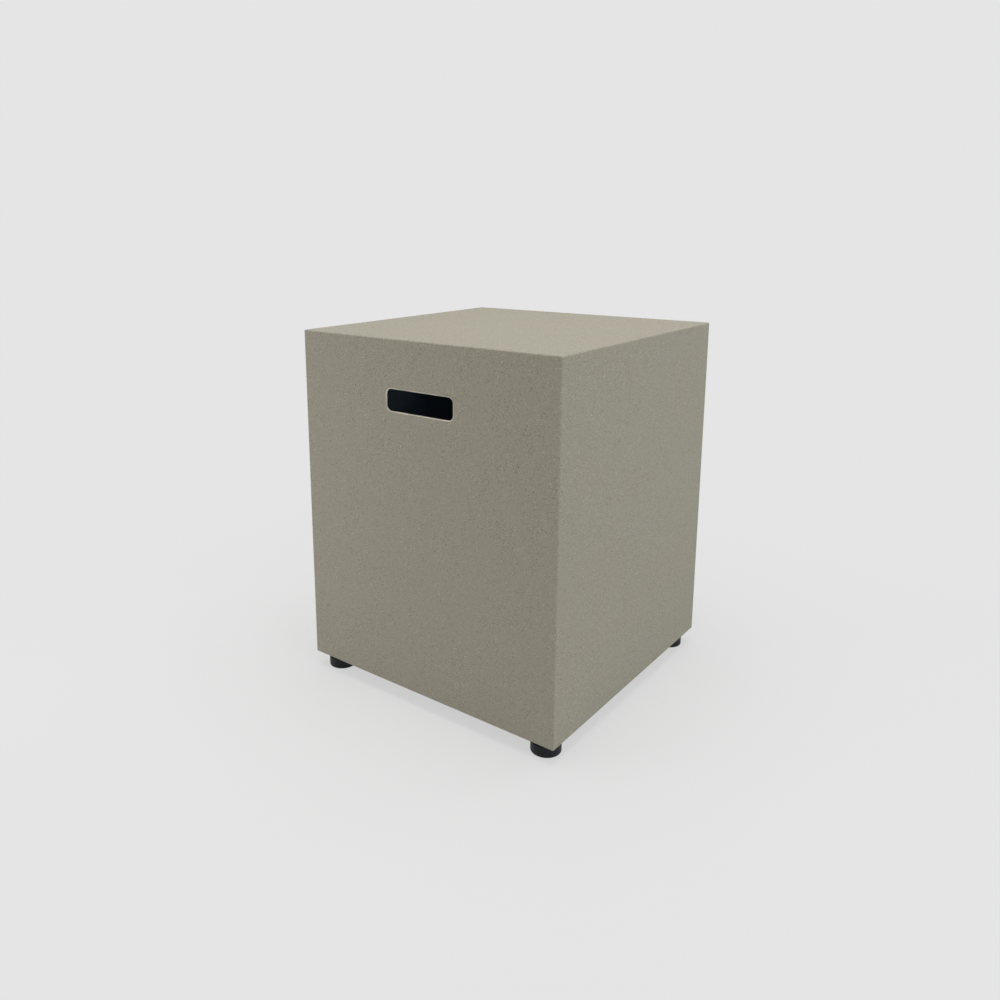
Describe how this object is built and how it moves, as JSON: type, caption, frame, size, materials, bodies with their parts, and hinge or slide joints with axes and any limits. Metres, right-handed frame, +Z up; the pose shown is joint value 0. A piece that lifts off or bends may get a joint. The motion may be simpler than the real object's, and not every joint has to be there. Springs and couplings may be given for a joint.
{
  "type": "outdoor side table",
  "caption": "Square box-shaped outdoor side table of textured, coated sheet, open underneath, with hand slots for lifting and screw-adjustable levelling feet.",
  "frame": {"origin": "on the floor under the middle of the case, with the feet screwed right in", "axes": "+Z up; the hand slots face -Y (front, the face with the slot in the picture) and +Y; +X is the plain face at the picture's right"},
  "size_m": [0.4, 0.4, 0.487],
  "materials": {
    "coat": "matt sand-textured powder coat, warm stone grey, on 1.5 mm steel sheet",
    "primer": "thin satin blue-grey primer on the steel that only shows from below",
    "zinc": "bright zinc plating on threaded steel",
    "nylon": "black moulded nylon, fine satin"
  },
  "bodies": {
    "case": {"wall_half_front_right": "coat", "wall_half_back_left": "coat", "top_panel": "coat", "stiffener_front": "primer", "stiffener_back": "primer", "bracket_front_left": "primer", "weld_nut_front_left": "primer", "lock_nut_front_left": "zinc", "bracket_front_right": "primer", "weld_nut_front_right": "primer", "lock_nut_front_right": "zinc", "bracket_back_right": "primer", "weld_nut_back_right": "primer", "lock_nut_back_right": "zinc", "bracket_back_left": "primer", "weld_nut_back_left": "primer", "lock_nut_back_left": "zinc"},
    "foot_front_left": {"pad_front_left": "nylon"},
    "screw_front_left": {"stud_front_left": "zinc"},
    "foot_front_right": {"pad_front_right": "nylon"},
    "screw_front_right": {"stud_front_right": "zinc"},
    "foot_back_right": {"pad_back_right": "nylon"},
    "screw_back_right": {"stud_back_right": "zinc"},
    "foot_back_left": {"pad_back_left": "nylon"},
    "screw_back_left": {"stud_back_left": "zinc"}
  },
  "joints": [
    {"name": "front_left_height", "type": "slide", "parent": "case", "child": "foot_front_left", "axis": [0, 0, -1], "range_m": [0, 0.012]},
    {"name": "front_left_turn", "type": "hinge", "parent": "foot_front_left", "child": "screw_front_left", "pos_m": [-0.1735, -0.1735, 0.014], "axis": [0, 0, -1], "range_deg": [0, 3456]},
    {"name": "front_right_height", "type": "slide", "parent": "case", "child": "foot_front_right", "axis": [0, 0, -1], "range_m": [0, 0.012]},
    {"name": "front_right_turn", "type": "hinge", "parent": "foot_front_right", "child": "screw_front_right", "pos_m": [0.1735, -0.1735, 0.014], "axis": [0, 0, -1], "range_deg": [0, 3456]},
    {"name": "back_right_height", "type": "slide", "parent": "case", "child": "foot_back_right", "axis": [0, 0, -1], "range_m": [0, 0.012]},
    {"name": "back_right_turn", "type": "hinge", "parent": "foot_back_right", "child": "screw_back_right", "pos_m": [0.1735, 0.1735, 0.014], "axis": [0, 0, -1], "range_deg": [0, 3456]},
    {"name": "back_left_height", "type": "slide", "parent": "case", "child": "foot_back_left", "axis": [0, 0, -1], "range_m": [0, 0.012]},
    {"name": "back_left_turn", "type": "hinge", "parent": "foot_back_left", "child": "screw_back_left", "pos_m": [-0.1735, 0.1735, 0.014], "axis": [0, 0, -1], "range_deg": [0, 3456]}
  ],
  "couplings": [
    {"joint": "front_left_height", "follows": "front_left_turn", "m_per_rad": 0.00019894},
    {"joint": "front_right_height", "follows": "front_right_turn", "m_per_rad": 0.00019894},
    {"joint": "back_right_height", "follows": "back_right_turn", "m_per_rad": 0.00019894},
    {"joint": "back_left_height", "follows": "back_left_turn", "m_per_rad": 0.00019894}
  ]
}
